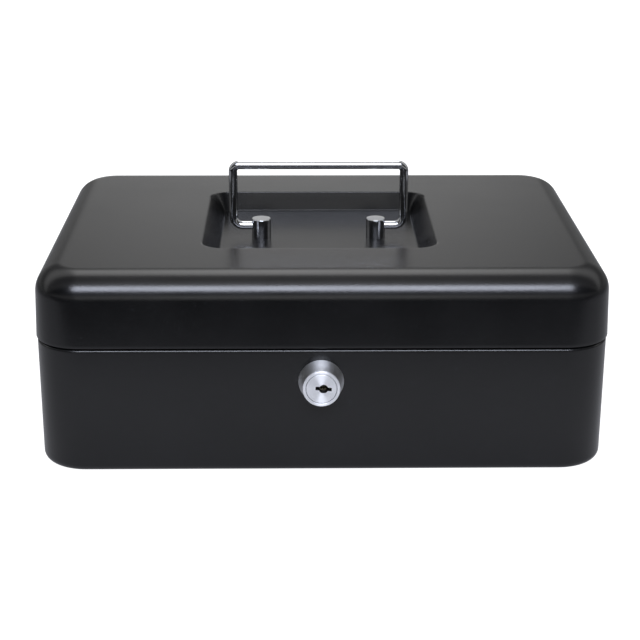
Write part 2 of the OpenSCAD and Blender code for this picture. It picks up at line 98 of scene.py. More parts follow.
FITTINGS_X = (bail_low.x + bail_high.x) / 2
WIRE_R = (bail_high.y - bail_low.y) / 2
PIVOT_Z = bail_low.z + WIRE_R
BAIL_X = bail_high.x - WIRE_R - FITTINGS_X
BAIL_FOOT_X = 25.3 * MM
BAIL_TOP_BEND = 2.8 * MM
BAIL_FOOT_BEND = 4.4 * MM
POST_EDGE = 0.35 * MM
POST_BORE_X = 25 * MM
POST_BORE_LEN = 9 * MM
WIRE_GAP = 0.08 * MM

LOCK_Z = (lock_low.z + lock_high.z) / 2
LOCK_ROOT_R = (lock_high.z - lock_low.z) / 2
LOCK_FACE_R = 8 * MM
LOCK_SHANK_R = 8 * MM
LOCK_FLAT = 7 * MM
LOCK_EDGE = 0.3 * MM
LOCK_LIP = 0.15 * MM
SHANK_GAP = 0.1 * MM
STOP_START, STOP_END = 124, 326
STOP_R, STOP_WALL, STOP_LEN = 6.7 * MM, 0.7 * MM, 3 * MM
STOP_PROUD = 2 * MM  # how far the stop stands out behind the barrel's shank
PLUG_R = 6.6 * MM
PLUG_GAP = 0.12 * MM
PLUG_BODY_R = 5 * MM
PLUG_BODY_GAP = 0.06 * MM
PLUG_HEAD = 3.3 * MM
PLUG_LIFT = 0.03 * MM  # keeps the plug's shoulder off the barrel's
TAIL_HALF = 2.5 * MM
KEYWAY_TILT = math.radians(4.5)
KEYWAY_X = 0.9 * MM
KEYWAY_HALF_W, KEYWAY_HALF_H = 3.45 * MM, 0.875 * MM
KEYWAY_EYE_R = 2 * MM
KEYWAY_DEPTH = 13 * MM

TRAY_X, TRAY_Y = tray_high.x, tray_high.y
TRAY_CORNER_R = 16 * MM
TRAY_WALL = 1.6 * MM
TRAY_RIM = 2 * MM
TRAY_EDGE = 3.2 * MM
TRAY_FLOOR = tray_low.z + TRAY_WALL
BAY_X, BAY_Y = 26 * MM, -74.5 * MM
CUPS = 5
CUP_GAP = 3 * MM
CUP_W = (2 * (TRAY_X - TRAY_EDGE) - CUP_GAP * (CUPS - 1)) / CUPS
CUP_FRONT, CUP_BACK = -8 * MM, TRAY_Y - TRAY_EDGE
CUP_CORNER_R = 14 * MM
CUP_OVER = 0.3 * MM  # how far outside the cups the outline lies that rounds the row's corners
POCKET_R = 5 * MM
POCKET_EASE = 2.2 * MM
POCKET_BACK = -11 * MM
RIM_COVER = 0.1 * MM  # how far the cups and pockets stop under the tray's rim, so that no faces coincide

EASED_EDGE = 0.12 * MM

# ---- Viewpoint and light, fitted to the photograph ----

CAMERA_PLACE = Vector((-11.53, -706.62, 293.72)) * MM
CAMERA_PITCH, CAMERA_YAW, CAMERA_ROLL = (math.radians(d) for d in (19.877, 0.933, 0.164))
CAMERA_LENS, CAMERA_SENSOR = 87.169, 36  # in millimetres, as Blender takes them

FLOOR_REACH = 6.0
FLOOR_GLOW = (0.25, 0.25, 0.27)
FLOOR_MATT = (0.30, 0.30, 0.30)
TABLE_END = -0.255
TABLE_BLUR = 0.04
TABLE_LEAST = 0.04
BLACK, WHITE = (0.0, 0.0, 0.0), (1.0, 1.0, 1.0)

# Angle over the back horizon in degrees, and brightness.
SKY = [
    # white backdrop
    (0, 0.9), (12, 0.9),
    # grey gap, bright panel and grey ceiling
    (19, 0.37), (33, 0.37), (42, 1.9), (54, 3.3), (72, 3.1), (80, 0.6), (104, 0.6), (110, 1.0), (126, 1.0),
    # dark room behind the camera, with a pale strip low down
    (134, 0.02), (163, 0.02), (170, 1.5), (180, 1.5),
]
SIDE_FADE = 12
SIDE_LEAST = 0.3

SOFTBOX_UP = math.radians(41)
SOFTBOX_FAR = 1.5
SOFTBOX_AIM = Vector((0, 0, 0.06))
SOFTBOX_W, SOFTBOX_H = 1.1, 0.48
SOFTBOX_POWER = 21
SOFTBOX_COLOR = (0.88, 0.93, 1.08)


# ---- Mesh code ----

def arc(cx, cz, r, start, end, steps=ARC_STEPS):
    """Points of an arc in a side view, angles in degrees."""
    angles = [math.radians(start + (end - start) * i / steps) for i in range(steps + 1)]
    return [(cx + r * math.cos(a), cz + r * math.sin(a)) for a in angles]


def plan_ring(cx, cy, reach, z, ox=0.0, oy=0.0):
    """A rounded rectangle in plan: reach(angle) is how far it stands out from its corner centres."""
    ring = []
    for quarter in range(4):
        sx = 1 if quarter in (0, 3) else -1
        sy = 1 if quarter in (0, 1) else -1
        for i in range(CORNER_STEPS + 1):
            a = math.radians(90 * (quarter + i / CORNER_STEPS))
            r, height = reach(a), z(a)
            ring.append((ox + sx * cx + r * math.cos(a), oy + sy * cy + r * math.sin(a), height))
    return ring


def shell_ring(reach, z):
    return plan_ring(CORNER_X, CORNER_Y, lambda a: reach, lambda a: z)


def loft(rings):
    """Closed solid through rings that all have the same number of points, capped at both ends."""
    count = len(rings[0])
    verts = [p for ring in rings for p in ring]
    faces = [tuple(range(count))[::-1], tuple(range(len(verts) - count, len(verts)))]
    for k in range(len(rings) - 1):
        for i in range(count):
            j = (i + 1) % count
            faces.append((k * count + i, k * count + j, (k + 1) * count + j, (k + 1) * count + i))
    return verts, faces


def lathe(profile, place, steps=96):
    """Solid of revolution: profile holds (radius, height) pairs, and place puts it on its axis."""
    rings = []
    for r, h in profile:
        angles = [2 * math.pi * i / steps for i in range(steps)]
        rings.append([place @ Vector((r * math.cos(a), r * math.sin(a), h)) for a in angles])
    return loft(rings)


def sweep(path, radius, steps=32):
    """Round wire along a path that lies in one XZ plane."""
    rings = []
    across = Vector((0, 1, 0))
    for i, p in enumerate(path):
        ahead = path[min(i + 1, len(path) - 1)] - path[max(i - 1, 0)]
        side = ahead.cross(across).normalized()
        angles = [2 * math.pi * k / steps for k in range(steps)]
        rings.append([p + radius * (math.cos(a) * side + math.sin(a) * across) for a in angles])
    return loft(rings)


def extrude(outline, place, low, high):
    """Prism over a closed outline of (x, y) points, between two heights."""
    return loft([[place @ Vector((x, y, h)) for x, y in outline] for h in (low, high)])


def block(low, high):
    corners = [(low.x, low.y), (high.x, low.y), (high.x, high.y), (low.x, high.y)]
    return extrude(corners, Matrix.Identity(4), low.z, high.z)


def mesh_object(name, shape):
    mesh = bpy.data.meshes.new(name)
    mesh.from_pydata([tuple(v) for v in shape[0]], [], shape[1])
    bm = bmesh.new()
    bm.from_mesh(mesh)
    bmesh.ops.remove_doubles(bm, verts=bm.verts, dist=1e-7)
    bmesh.ops.recalc_face_normals(bm, faces=bm.faces)
    bm.to_mesh(mesh)
    bm.free()
    made = bpy.data.objects.new(name, mesh)
    bpy.context.scene.collection.objects.link(made)
    return made


def boolean(obj, shape, operation="DIFFERENCE"):
    """Cuts a shape or another object out of an object, or joins it on, for good."""
    tool = mesh_object("tool", shape) if isinstance(shape, tuple) else shape
    change = obj.modifiers.new("boolean", "BOOLEAN")
    change.operation, change.solver, change.object = operation, "EXACT", tool
    done = bpy.data.meshes.new_from_object(obj.evaluated_get(bpy.context.evaluated_depsgraph_get()))
    obj.modifiers.clear()
    obj.data = done
    bpy.data.objects.remove(tool)


def shade(obj, angle=32):
    """Smooth faces, with the edges sharper than the angle kept crisp."""
    bm = bmesh.new()
    bm.from_mesh(obj.data)
    for face in bm.faces:
        face.smooth = True
    for edge in bm.edges:
        edge.smooth = len(edge.link_faces) == 2 and edge.calc_face_angle(0) < math.radians(angle)
    bm.to_mesh(obj.data)
    bm.free()


def finish_piece(obj, body, slot, nodes, angle=32):
    shade(obj, angle)
    obj.data.materials.clear()
    obj.data.materials.append(MATERIALS[slot])
    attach(obj, body)
    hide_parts(*nodes)
    return obj


# ---- Material code ----

class Graph:
    """Shorthand for the nodes of a material or of the world."""

    def __init__(self, owner, coordinates="Object"):
        owner.use_nodes = True
        self.owner = owner
        self.tree = owner.node_tree
        self.shader = self.tree.nodes.get("Principled BSDF")
        self.place = self.node("TexCoord").outputs[coordinates]

    def node(self, kind, **settings):
        made = self.tree.nodes.new("ShaderNode" + kind)
        for name, value in settings.items():
            setattr(made, name, value)
        return made

    def link(self, source, target):
        self.tree.links.new(source, target)

    def set(self, **values):
        """Uniform numbers, straight on the shader's sockets."""
        for name, value in values.items():
            self.shader.inputs[name.replace("_", " ")].default_value = value

    def axis(self, name):
        made = self.node("SeparateXYZ")
        self.link(self.place, made.inputs[0])
        return made.outputs[name]

    def noise(self, scale, detail=2.0, rough=0.5, where=None):
        made = self.node("TexNoise")
        made.inputs["Scale"].default_value = scale
        made.inputs["Detail"].default_value = detail
        made.inputs["Roughness"].default_value = rough
        self.link(where or self.place, made.inputs["Vector"])
        return made.outputs["Fac"]

    def stretched(self, scale):
        made = self.node("Mapping")
        made.inputs["Scale"].default_value = scale
        self.link(self.place, made.inputs["Vector"])
        return made.outputs["Vector"]

    def cells(self, scale):
        made = self.node("TexVoronoi")
        made.inputs["Scale"].default_value = scale
        self.link(self.place, made.inputs["Vector"])
        return made.outputs["Distance"]

    def span(self, value, low, high, to_low, to_high):
        """Value from low..high to to_low..to_high, clamped."""
        made = self.node("MapRange")
        for i, number in enumerate((low, high, to_low, to_high)):
            made.inputs[i + 1].default_value = number
        self.link(value, made.inputs[0])
        return made.outputs[0]

    def math(self, operation, a, b=None):
        made = self.node("Math", operation=operation)
        for i, value in enumerate((a, b)):
            if isinstance(value, (int, float)):
                made.inputs[i].default_value = value
            elif value is not None:
                self.link(value, made.inputs[i])
        return made.outputs[0]

    def vector(self, operation, a, b=(0, 0, 0)):
        """A vector operation on a socket and a fixed vector."""
        made = self.node("VectorMath", operation=operation)
        self.link(a, made.inputs[0])
        made.inputs[1].default_value = b
        return made

    def blend(self, share, a, b):
        """Mixes two colours, each a tuple or a socket."""
        made = self.node("Mix", data_type="RGBA")
        self.link(share, made.inputs[0])
        for socket, value in ((made.inputs[6], a), (made.inputs[7], b)):
            if isinstance(value, tuple):
                socket.default_value = (*value, 1)
            else:
                self.link(value, socket)
        return made.outputs[2]

    def edges(self, radius):
        """1 on worn outside edges and 0 on flats, broken up by noise."""
        bevel = self.node("Bevel", samples=4)
        bevel.inputs["Radius"].default_value = radius
        dot = self.vector("DOT_PRODUCT", bevel.outputs[0])
        self.link(self.node("NewGeometry").outputs["Normal"], dot.inputs[1])
        sharp = self.span(dot.outputs["Value"], 0.97, 0.8, 0.0, 1.0)
        patches = self.span(self.noise(160, 3), 0.45, 0.62, 0.15, 1.0)
        return self.math("MULTIPLY", sharp, patches)

    def bump(self, height, distance, strength=1.0, under=None):
        made = self.node("Bump")
        made.inputs["Strength"].default_value = strength
        made.inputs["Distance"].default_value = distance
        self.link(height, made.inputs["Height"])
        if under is not None:
            self.link(under, made.inputs["Normal"])
        return made.outputs[0]

    def finish(self, color, roughness, normal):
        self.link(color, self.shader.inputs["Base Color"])
        self.link(roughness, self.shader.inputs["Roughness"])
        self.link(normal, self.shader.inputs["Normal"])
        return self.owner


def black_powder_coat():
    """Fine sand-textured black powder paint over steel."""
    g = Graph(bpy.data.materials.new("black_powder_coat"))
    g.set(IOR=1.5)
    deep, pale = (0.0030, 0.0031, 0.0034), (0.0042, 0.0043, 0.0047)
    fleck, worn = (0.030, 0.031, 0.034), (0.024, 0.025, 0.027)
    grain = g.noise(1500, 2, 0.6)
    peel = g.noise(420, 1)
    clouds = g.noise(34, 3)
    color = g.blend(g.span(clouds, 0.35, 0.65, 0, 1), deep, pale)
    color = g.blend(g.span(g.noise(900, 1), 0.70, 0.78, 0, 0.35), color, fleck)
    color = g.blend(g.edges(0.5 * MM), color, worn)
    rough = g.span(g.math("ADD", clouds, grain), 0.8, 1.25, 0.23, 0.27)
    normal = g.bump(peel, 0.018 * MM, 0.5)
    normal = g.bump(grain, 0.035 * MM, 0.6, normal)
    return g.finish(color, rough, normal)


def chrome_plate():
    """Bright chrome with faint polishing waves, hairlines and finger haze."""
    g = Graph(bpy.data.materials.new("chrome_plate"))
    g.set(Metallic=1.0)
    bright, dull = (0.62, 0.63, 0.65), (0.55, 0.56, 0.58)
    haze = g.noise(70, 3)
    lines = g.noise(1, 2, 0.6, g.stretched((2600, 2600, 240)))
    color = g.blend(g.span(haze, 0.35, 0.7, 0, 1), bright, dull)
    wear = g.math("ADD", g.math("MULTIPLY", haze, 0.7), g.math("MULTIPLY", lines, 0.3))
    rough = g.span(wear, 0.38, 0.62, 0.05, 0.13)
    normal = g.bump(g.noise(90, 1), 0.004 * MM, 0.2)
    normal = g.bump(lines, 0.001 * MM, 0.2, normal)
    return g.finish(color, rough, normal)


def plug_nickel():
    """Turned nickel: a satin face, a polished flank, fine marks round the lock's axis, and painted shade
    inside the keyway.
    """
    g = Graph(bpy.data.materials.new("plug_nickel"))
    g.set(Anisotropic=0.9, Anisotropic_Rotation=0.25)
    around = g.node("Tangent", direction_type="RADIAL", axis="Y")
    g.link(around.outputs[0], g.shader.inputs["Tangent"])
    satin, satin_dull = (0.93, 0.94, 0.96), (0.85, 0.86, 0.88)
    polished, polished_dull = (0.86, 0.87, 0.89), (0.80, 0.81, 0.83)
    # near-black painted shade for the walls down inside the keyway
    painted_keyway_shade = (0.03, 0.03, 0.032)
    face_end, flank_start = lock_low.y + 0.5 * MM, lock_low.y + 0.8 * MM
    flank = g.span(g.axis("Y"), face_end, flank_start, 0, 1)
    g.link(g.span(flank, 0, 1, 0.6, 1.0), g.shader.inputs["Metallic"])
    off_axis = g.vector("SUBTRACT", g.place, (FITTINGS_X, 0, LOCK_Z)).outputs[0]
    off_axis = g.vector("MULTIPLY", off_axis, (1, 0, 1)).outputs[0]
    radius = g.vector("LENGTH", off_axis).outputs["Value"]
    rings = g.node("TexNoise", noise_dimensions="1D")
    rings.inputs["Scale"].default_value = 9000
    g.link(radius, rings.inputs["W"])
    turned = rings.outputs["Fac"]
    haze = g.noise(260, 3)
    color = g.blend(g.span(haze, 0.35, 0.65, 0, 1), satin, satin_dull)
    color = g.blend(flank, color, g.blend(haze, polished, polished_dull))
    # Painted shade: behind the face, within the plug's body radius, the keyway's walls are coloured near
    # black
    keyway_shade_mask = g.math("MULTIPLY", flank, g.math("LESS_THAN", radius, PLUG_BODY_R - 0.4 * MM))
    color = g.blend(keyway_shade_mask, color, painted_keyway_shade)
    rough = g.span(g.math("ADD", turned, haze), 0.7, 1.3, 0.36, 0.48)
    rough = g.math("SUBTRACT", rough, g.math("MULTIPLY", flank, 0.04))
    normal = g.bump(turned, 0.006 * MM, 0.35)
    normal = g.bump(haze, 0.01 * MM, 0.2, normal)
    return g.finish(color, rough, normal)


def zinc_steel():
    """Zinc-plated steel with a spangled, slightly yellow passivation."""
    g = Graph(bpy.data.materials.new("zinc_steel"))
    g.set(Metallic=1.0)
    grey, yellowish, worn = (0.52, 0.53, 0.56), (0.60, 0.585, 0.52), (0.74, 0.74, 0.75)
    patches = g.noise(140, 4)
    spangle = g.cells(700)
    color = g.blend(g.span(patches, 0.35, 0.65, 0, 1), grey, yellowish)
    color = g.blend(g.edges(0.3 * MM), color, worn)
    rough = g.span(g.math("ADD", spangle, patches), 0.5, 1.2, 0.26, 0.42)
    normal = g.bump(g.noise(1300, 3), 0.012 * MM, 0.35)
    normal = g.bump(spangle, 0.008 * MM, 0.3, normal)
    return g.finish(color, rough, normal)


def wafer_brass():
    """Blanked brass with rolling marks and a little tarnish, its colours darkened as painted shade for the
    wafers deep in the lock.
    """
    g = Graph(bpy.data.materials.new("wafer_brass"))
    g.set(Metallic=1.0)
    # Painted shade: both brass colours are darkened well below bright brass, for the wafers' place deep in
    # the keyway
    shade_darkened_brass, shade_darkened_tarnish = (0.42, 0.38, 0.28), (0.22, 0.19, 0.13)
    tarnish = g.noise(420, 4)
    rolled = g.noise(1, 2, 0.5, g.stretched((400, 400, 5200)))
    color = g.blend(g.span(tarnish, 0.4, 0.7, 0, 1), shade_darkened_brass, shade_darkened_tarnish)
    rough = g.span(g.math("ADD", tarnish, rolled), 0.7, 1.3, 0.2, 0.42)
    normal = g.bump(rolled, 0.006 * MM, 0.35)
    return g.finish(color, rough, normal)


def tray_plastic():
    """Moulded plastic with a fine spark-eroded texture and scuffs from coins."""
    g = Graph(bpy.data.materials.new("tray_plastic"))
    g.set(IOR=1.5)
    deep, pale = (0.019, 0.0195, 0.021), (0.026, 0.0265, 0.028)
    scuffed, worn = (0.05, 0.05, 0.053), (0.07, 0.07, 0.073)
    grain = g.noise(1100, 3, 0.6)
    tone = g.noise(28, 3)
    scuffs = g.span(g.noise(1, 3, 0.6, g.stretched((90, 900, 300))), 0.62, 0.72, 0, 0.5)
    color = g.blend(g.span(tone, 0.35, 0.65, 0, 1), deep, pale)
    color = g.blend(scuffs, color, scuffed)
    color = g.blend(g.edges(0.6 * MM), color, worn)
    rough = g.span(g.math("ADD", grain, tone), 0.7, 1.3, 0.42, 0.58)
    normal = g.bump(grain, 0.04 * MM, 0.5)
    return g.finish(color, rough, normal)


# ---- Sheet-metal shells ----

def lid_outside(z):
    """How far the outside of the lid's wall stands out from the corner centres at a height."""
    return LID_CORNER_R - (z - lid_low.z) * math.tan(LID_LEAN)


def well_lean(slope):
    return math.atan(slope / WELL_DEPTH)


def well_slope(a):
    return WELL_SLOPE_X * math.cos(a) ** 2 + WELL_SLOPE_Y * math.sin(a) ** 2


def well_fillet(a):
    return WELL_FILLET_X * math.cos(a) ** 2 + WELL_FILLET_Y * math.sin(a) ** 2


def mouth_point(lean, fillet, skin, turn):
    """Inset and depth on the fillet round the recess's mouth, at a turn in radians."""
    centre = fillet * (1 - math.sin(lean)) / math.cos(lean)
    r = max(fillet - skin, WELL_LEAST_R)
    return r * math.cos(turn) - centre, max(fillet, skin) - r * math.sin(turn)


def floor_point(lean, fillet, skin, turn):
    """Inset and depth on the fillet round the recess's floor."""
    centre_d = WELL_DEPTH - fillet
    centre = centre_d * math.tan(lean) + fillet / math.cos(lean)
    r = fillet + skin
    return centre - r * math.cos(turn), centre_d + r * math.sin(turn)


def well_ring(point, skin, share, more=0.0):
    """One ring of the recess: share runs from 0 to 1 along the mouth's or the floor's fillet."""
    def at(a):
        lean = well_lean(well_slope(a))
        start, end = (math.pi / 2, lean) if point is mouth_point else (lean, math.pi / 2)
        return point(lean, well_fillet(a), skin, start + (end - start) * share)
    return plan_ring(
        WELL_W / 2 - WELL_CORNER_R, WELL_D / 2 - WELL_CORNER_R,
        lambda a: WELL_CORNER_R - at(a)[0] - more, lambda a: lid_high.z - at(a)[1],
        FITTINGS_X, (post_low.y + post_high.y) / 2,
    )


def well_rings(skin):
    """Recess from its mouth down to its floor, with a close ring beyond each fillet."""
    steps = [i / ARC_STEPS for i in range(ARC_STEPS + 1)]
    return (
        [well_ring(mouth_point, skin, 0, more=-1.2 * HOLD)]
        + [well_ring(mouth_point, skin, s) for s in steps]
        + [well_ring(floor_point, skin, s) for s in steps]
        + [well_ring(floor_point, skin, 1, more=1.2 * HOLD)]
    )


def lid_shell():
    top = lid_high.z
    round_z = top - LID_EDGE_R
    round_x = lid_outside(round_z) - LID_EDGE_R / math.cos(LID_LEAN)
    lean = math.degrees(LID_LEAN)
    skin = SHEET / math.cos(LID_LEAN)
    foot = lid_low.z
    outer = [(round_x - HOLD, top)] + arc(round_x, round_z, LID_EDGE_R, 90, lean, 28)
    outer += [(lid_outside(z), z) for z in (round_z - HOLD, foot + 1.5 * HOLD)]
    rim = arc(lid_outside(foot) - RIM_R, foot + RIM_R, RIM_R, 0, -90, 5)
    rim += arc(lid_outside(foot) - skin + RIM_R, foot + RIM_R, RIM_R, -90, -180, 5)
    inner = [(lid_outside(z) - skin, z) for z in (foot + 1.5 * HOLD, round_z - HOLD)]
    inner += arc(round_x, round_z, LID_EDGE_R - SHEET, lean, 90, 20) + [(round_x - HOLD, top - SHEET)]
    rings = well_rings(0)[::-1] + [shell_ring(r, z) for r, z in outer + rim + inner] + well_rings(SHEET)
    lid = mesh_object("lid_pressing", loft(rings))
    for side in (-1, 1):
        boolean(lid, hinge_notch(side, foot - PAST, LEDGE_Z + NOTCH_R))
    return finish_piece(lid, "lid", "black_powder_coat", ["lid_shell"])


def hinge_notch(side, low, high):
    half = Vector((HINGE_LEN / 2 + NOTCH_SIDE, NOTCH_R + PAST, 0))
    middle = Vector((side * HINGE_X, HINGE_Y, 0))
    return block(middle - half + Vector((0, 0, low)), middle + half + Vector((0, 0, high)))


def base_shell():
    low, lip_top = base_low.z, base_high.z
    under = LEDGE_Z - SHEET
    inner_r = BASE_EDGE_R - SHEET
    wall = BASE_R - SHEET
    inside = [(wall - inner_r - HOLD, low + SHEET)]
    inside += arc(wall - inner_r, low + SHEET + inner_r, inner_r, -90, 0)
    inside += [(wall, low + 6 * HOLD), (wall, under - RIM_R)]
    inside += arc(wall - RIM_R, under - RIM_R, RIM_R, 0, 90, 4)
    inside += [(LIP_R - SHEET, z) for z in (under, under + 0.5 * HOLD, lip_top - HOLD)]
    lip = arc(LIP_R - SHEET + RIM_R, lip_top - RIM_R, RIM_R, 180, 90, 5)
    lip += arc(LIP_R - RIM_R, lip_top - RIM_R, RIM_R, 90, 0, 5)
    outside = [(LIP_R, lip_top - HOLD), (LIP_R, LEDGE_Z)]
    outside += arc(BASE_R - SHOULDER_R, LEDGE_Z - SHOULDER_R, SHOULDER_R, 90, 0)
    outside += [(BASE_R, LEDGE_Z - SHOULDER_R - 0.8 * HOLD), (BASE_R, low + BASE_EDGE_R + HOLD)]
    outside += arc(BASE_R - BASE_EDGE_R, low + BASE_EDGE_R, BASE_EDGE_R, 0, -90)
    outside += [(BASE_R - BASE_EDGE_R - HOLD, low)]
    base = mesh_object("base_pressing", loft([shell_ring(r, z) for r, z in inside + lip + outside]))
    for side in (-1, 1):
        boolean(base, hinge_notch(side, LEDGE_Z - NOTCH_R, lip_top + PAST))
    boolean(base, extrude(shank_outline(SHANK_GAP), lock_place(), -lock_high.y - PAST, -lock_low.y))
    return finish_piece(base, "base", "black_powder_coat", ["base_shell"])


# ---- Handle ----

def handle_bail():
    y = (bail_low.y + bail_high.y) / 2
    top = bail_high.z - WIRE_R
    foot = arc(BAIL_X - BAIL_FOOT_BEND, PIVOT_Z + BAIL_FOOT_BEND, BAIL_FOOT_BEND, -90, 0, 20)
    crown = arc(BAIL_X - BAIL_TOP_BEND, top - BAIL_TOP_BEND, BAIL_TOP_BEND, 0, 90, 20)
    half = [(BAIL_FOOT_X, PIVOT_Z), (BAIL_X - BAIL_FOOT_BEND - 0.5 * HOLD, PIVOT_Z)] + foot + crown
    half += [(BAIL_X - BAIL_TOP_BEND - 0.5 * HOLD, top)]
    path = [Vector((FITTINGS_X + x, y, z)) for x, z in half + [(-x, z) for x, z in half[::-1]]]
    bail = mesh_object("bail_wire", sweep(path, WIRE_R, 40))
    return finish_piece(bail, "handle", "chrome_plate", ["handle_bail"], 40)


def handle_post(side, name):
    """Turned post with the bore that the handle's foot turns in."""
    low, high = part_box(name)
    middle = (low + high) / 2
    r, height = (high.x - low.x) / 2, high.z - low.z
    profile = [(r, 0), (r, height - POST_EDGE)]
    profile += arc(r - POST_EDGE, height - POST_EDGE, POST_EDGE, 0, 90, 6)
    profile += [(r - POST_EDGE - 0.5 * HOLD, height)]
    post = mesh_object(name + "_turned", lathe(profile, Matrix.Translation((middle.x, middle.y, low.z))))
    bore = Matrix.Translation((FITTINGS_X + side * POST_BORE_X, middle.y, PIVOT_Z))
    bore = bore @ Matrix.Rotation(side * math.pi / 2, 4, "Y")
    boolean(post, lathe([(WIRE_R + WIRE_GAP, 0), (WIRE_R + WIRE_GAP, POST_BORE_LEN)], bore, 48))
    return finish_piece(post, "lid", "chrome_plate", [name])


# ---- Lock ----

def lock_place():
    """The lock's axis, with Z pointing out of the front wall from the middle of the box."""
    return Matrix.Translation((FITTINGS_X, 0, LOCK_Z)) @ Matrix.Rotation(math.pi / 2, 4, "X")


def shank_outline(gap):
    r, flat = LOCK_SHANK_R + gap, LOCK_FLAT + gap
    corner = math.degrees(math.acos(flat / r))
    return arc(0, 0, r, corner, 180 - corner, 32) + arc(0, 0, r, 180 + corner, 360 - corner, 32)


def lock_barrel():
    face, wall = -lock_low.y, BASE_R + CORNER_Y
    shank = -lock_high.y
    bore, body = PLUG_R + PLUG_GAP, PLUG_BODY_R + PLUG_BODY_GAP
    edge, lip = LOCK_EDGE, LOCK_LIP
    profile = [(body, wall), (LOCK_ROOT_R - lip, wall), (LOCK_ROOT_R, wall + lip)]
    profile += [(LOCK_FACE_R + 0.12 * MM, face - edge - 0.8 * HOLD)]
    profile += arc(LOCK_FACE_R - edge, face - edge, edge, 8, 90, 10)
    profile += [(bore + lip + 0.3 * HOLD, face), (bore + lip, face), (bore, face - lip)]
    profile += [(bore, face - PLUG_HEAD), (body, face - PLUG_HEAD)]
    barrel = mesh_object("lock_body", ring_lathe(profile, lock_place(), 128))
    shank_piece = extrude(shank_outline(0), lock_place(), shank + STOP_PROUD, wall + 0.5 * PAST)
    boolean(barrel, shank_piece, "UNION")
    boolean(barrel, lathe([(body, shank), (body, face - PLUG_HEAD - 0.5 * PAST)], lock_place(), 96))
    boolean(barrel, stop_lug(shank), "UNION")
    return finish_piece(barrel, "base", "plug_nickel", ["lock_barrel"])


def ring_lathe(profile, place, steps):
    """Solid of revolution with a hole: the profile's last point joins its first."""
    count = len(profile)
    verts, faces = [], []
    for i in range(steps):
        a = 2 * math.pi * i / steps
        verts += [place @ Vector((r * math.cos(a), r * math.sin(a), h)) for r, h in profile]
        for k in range(count):
            j, n = (k + 1) % count, (i + 1) % steps
            faces.append((i * count + k, i * count + j, n * count + j, n * count + k))
    return verts, faces


def stop_lug(shank):
    """The arc behind the barrel that limits the tongue's turn."""
    outline = arc(0, 0, STOP_R, STOP_START, STOP_END, 48)
    outline += arc(0, 0, STOP_R - STOP_WALL, STOP_END, STOP_START, 48)
    return extrude(outline, lock_place(), shank, shank + STOP_LEN)


def centred_outline(half_w, half_h):
    return [(-half_w, -half_h), (half_w, -half_h), (half_w, half_h), (-half_w, half_h)]


def lock_plug():
    face, tail = -plug_low.y, -plug_high.y
    shank = -lock_high.y + STOP_PROUD
    edge, r = LOCK_LIP, PLUG_R - PLUG_GAP
    head = -lock_low.y - PLUG_HEAD + PLUG_LIFT
    profile = [(PLUG_BODY_R, shank), (PLUG_BODY_R, head), (r, head), (r, face - edge)]
    profile += [(r - edge, face), (r - edge - 0.4 * HOLD, face)]
    plug = mesh_object("plug_turned", lathe(profile, lock_place(), 128))
    square = centred_outline(TAIL_HALF, TAIL_HALF)
    boolean(plug, extrude(square, lock_place(), tail, shank + 0.5 * PAST), "UNION")
    turn = lock_place() @ Matrix.Rotation(-KEYWAY_TILT, 4, "Z") @ Matrix.Translation((KEYWAY_X, 0, 0))
    bottom, top = face - KEYWAY_DEPTH, face + PAST
    boolean(plug, extrude(centred_outline(KEYWAY_HALF_W, KEYWAY_HALF_H), turn, bottom, top))
    boolean(plug, lathe([(KEYWAY_EYE_R, bottom), (KEYWAY_EYE_R, top)], turn, 48))
    return finish_piece(plug, "lock", "plug_nickel", ["lock_plug"])


# ---- Coin tray ----

def rounded_plan(x0, x1, y0, y1, r, steps=12):
    """Outline of a rounded rectangle."""
    left, right, front, back = x0 + r, x1 - r, y0 + r, y1 - r
    outline = []
    for turn, (x, y) in zip((0, 90, 180, 270), ((right, back), (left, back), (left, front), (right, front))):
        outline += arc(x, y, r, turn, turn + 90, steps)
    return outline


def tray_cups(grow, top):
    """The row of round-bottomed cups, rounded off at the tray's back corners."""
    radius = CUP_W / 2
    row = None
    for i in range(CUPS):
        x = (i - (CUPS - 1) / 2) * (CUP_W + CUP_GAP)
        r = radius + grow
        outline = arc(x, TRAY_FLOOR + radius, r, 180, 360, 56) + [(x + r, top), (x - r, top)]
        cup = extrude(outline, Matrix.Rotation(math.pi / 2, 4, "X"), -CUP_BACK - grow, grow - CUP_FRONT)
        if row:
            boolean(row, cup, "UNION")
        else:
            row = mesh_object("cups", cup)
    reach = grow + CUP_OVER - TRAY_EDGE
    plan = rounded_plan(-TRAY_X - reach, TRAY_X + reach, -TRAY_Y - reach, TRAY_Y + reach, CUP_CORNER_R + grow)
    boolean(row, extrude(plan, Matrix.Identity(4), tray_low.z - PAST, top + PAST), "INTERSECT")
    return row


def tray_pocket(x0, x1, y0, grow, top):
    """A flat pocket with its floor's edge rounded."""
    ease = POCKET_EASE + grow
    floor = TRAY_FLOOR - grow
    rings = []
    for turn in range(0, 91, 10):
        a = math.radians(turn)
        inset, z = ease * (1 - math.sin(a)), floor + ease * (1 - math.cos(a))
        reach = grow - inset
        plan = rounded_plan(x0 - reach, x1 + reach, y0 - reach, POCKET_BACK + reach, POCKET_R + reach)
        rings.append([Vector((x, y, z)) for x, y in plan])
    rings.append([Vector((p.x, p.y, top)) for p in rings[-1]])
    return loft(rings)


